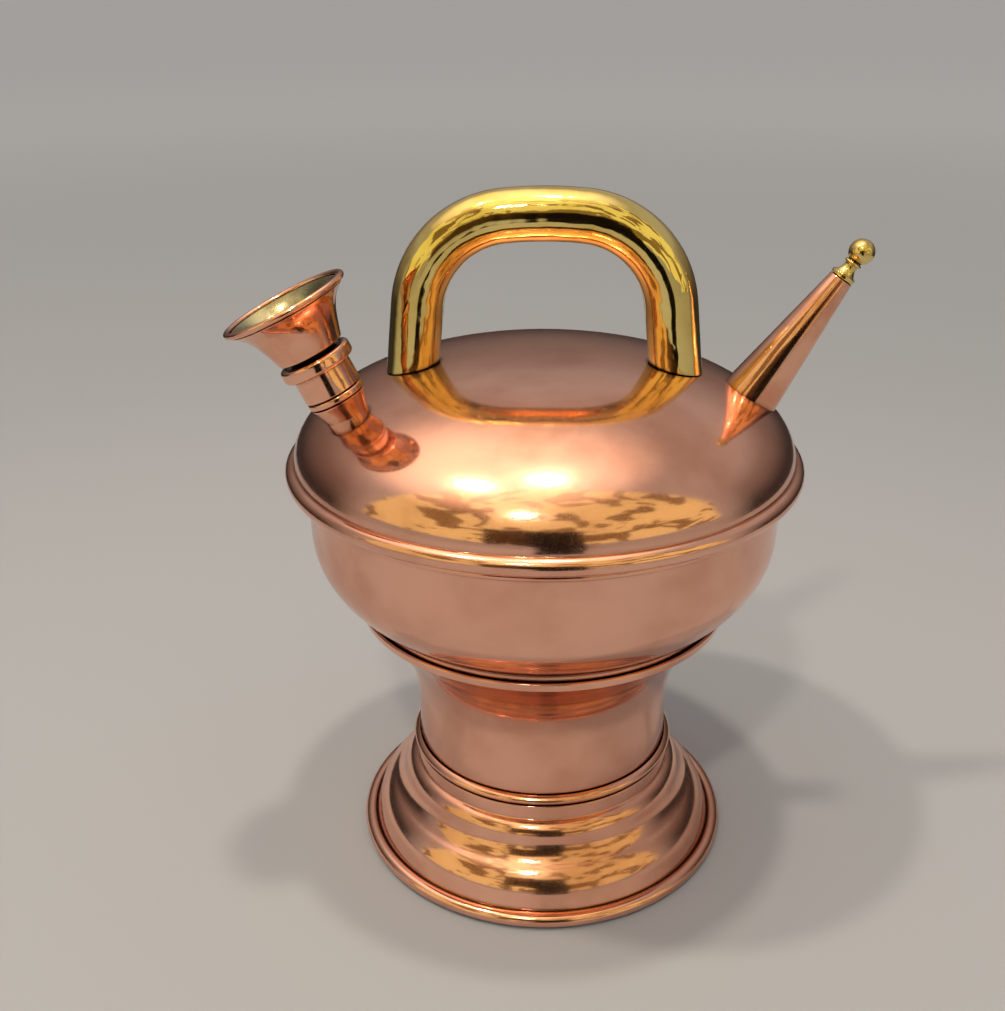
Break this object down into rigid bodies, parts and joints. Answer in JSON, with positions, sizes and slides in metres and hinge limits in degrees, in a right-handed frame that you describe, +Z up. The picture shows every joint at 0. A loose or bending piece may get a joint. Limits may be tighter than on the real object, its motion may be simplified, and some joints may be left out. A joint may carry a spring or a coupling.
{
  "type": "steam kettle",
  "caption": "Footed copper steam kettle: domed boiler with a brass bail handle, a swivelling mouth with a lift-out trumpet, and a cone spout closed by a ball-topped stopper.",
  "frame": {"origin": "on the axis of the boiler, at the underside of the base plate, which is level with the lowest point of the foot", "axes": "+Z up along the boiler axis; the handle lies in the XZ plane, the cone spout leans to +X and the trumpet stands on the -X side, towards the front at -Y"},
  "size_m": [0.1806, 0.1574, 0.214],
  "materials": {
    "copper": "polished spun copper, slightly tarnished",
    "brass": "polished yellow brass",
    "pale_brass": "pale tinned brass, satin",
    "iron_wire": "dark iron wire"
  },
  "bodies": {
    "boiler": {"base_plate": "copper", "foot_shell": "copper", "foot_rim_wire": "iron_wire", "column_shell": "copper", "column_bead": "copper", "bowl_shell": "copper", "dome_shell": "copper", "dome_rim_wire": "iron_wire", "handle_tube": "brass", "neck_tube": "copper", "neck_ring": "copper", "spout_cone": "copper"},
    "mouth_socket": {"mouth_sleeve": "copper", "collar_ring": "copper"},
    "trumpet": {"trumpet_spigot": "brass", "trumpet_shell": "copper", "trumpet_liner": "pale_brass", "trumpet_rim": "copper"},
    "stopper": {"stopper": "brass"}
  },
  "joints": [
    {"name": "mouth_swivel", "type": "hinge", "parent": "boiler", "child": "mouth_socket", "pos_m": [-0.05421, -0.02774, 0.15414], "axis": [-0.4367, -0.0076, 0.8996], "continuous": true},
    {"name": "trumpet_lift", "type": "slide", "parent": "mouth_socket", "child": "trumpet", "axis": [-0.4367, -0.0076, 0.8996], "range_m": [0, 0.012]},
    {"name": "stopper_lift", "type": "slide", "parent": "boiler", "child": "stopper", "axis": [0.549, 0, 0.8358], "range_m": [0, 0.014]}
  ]
}
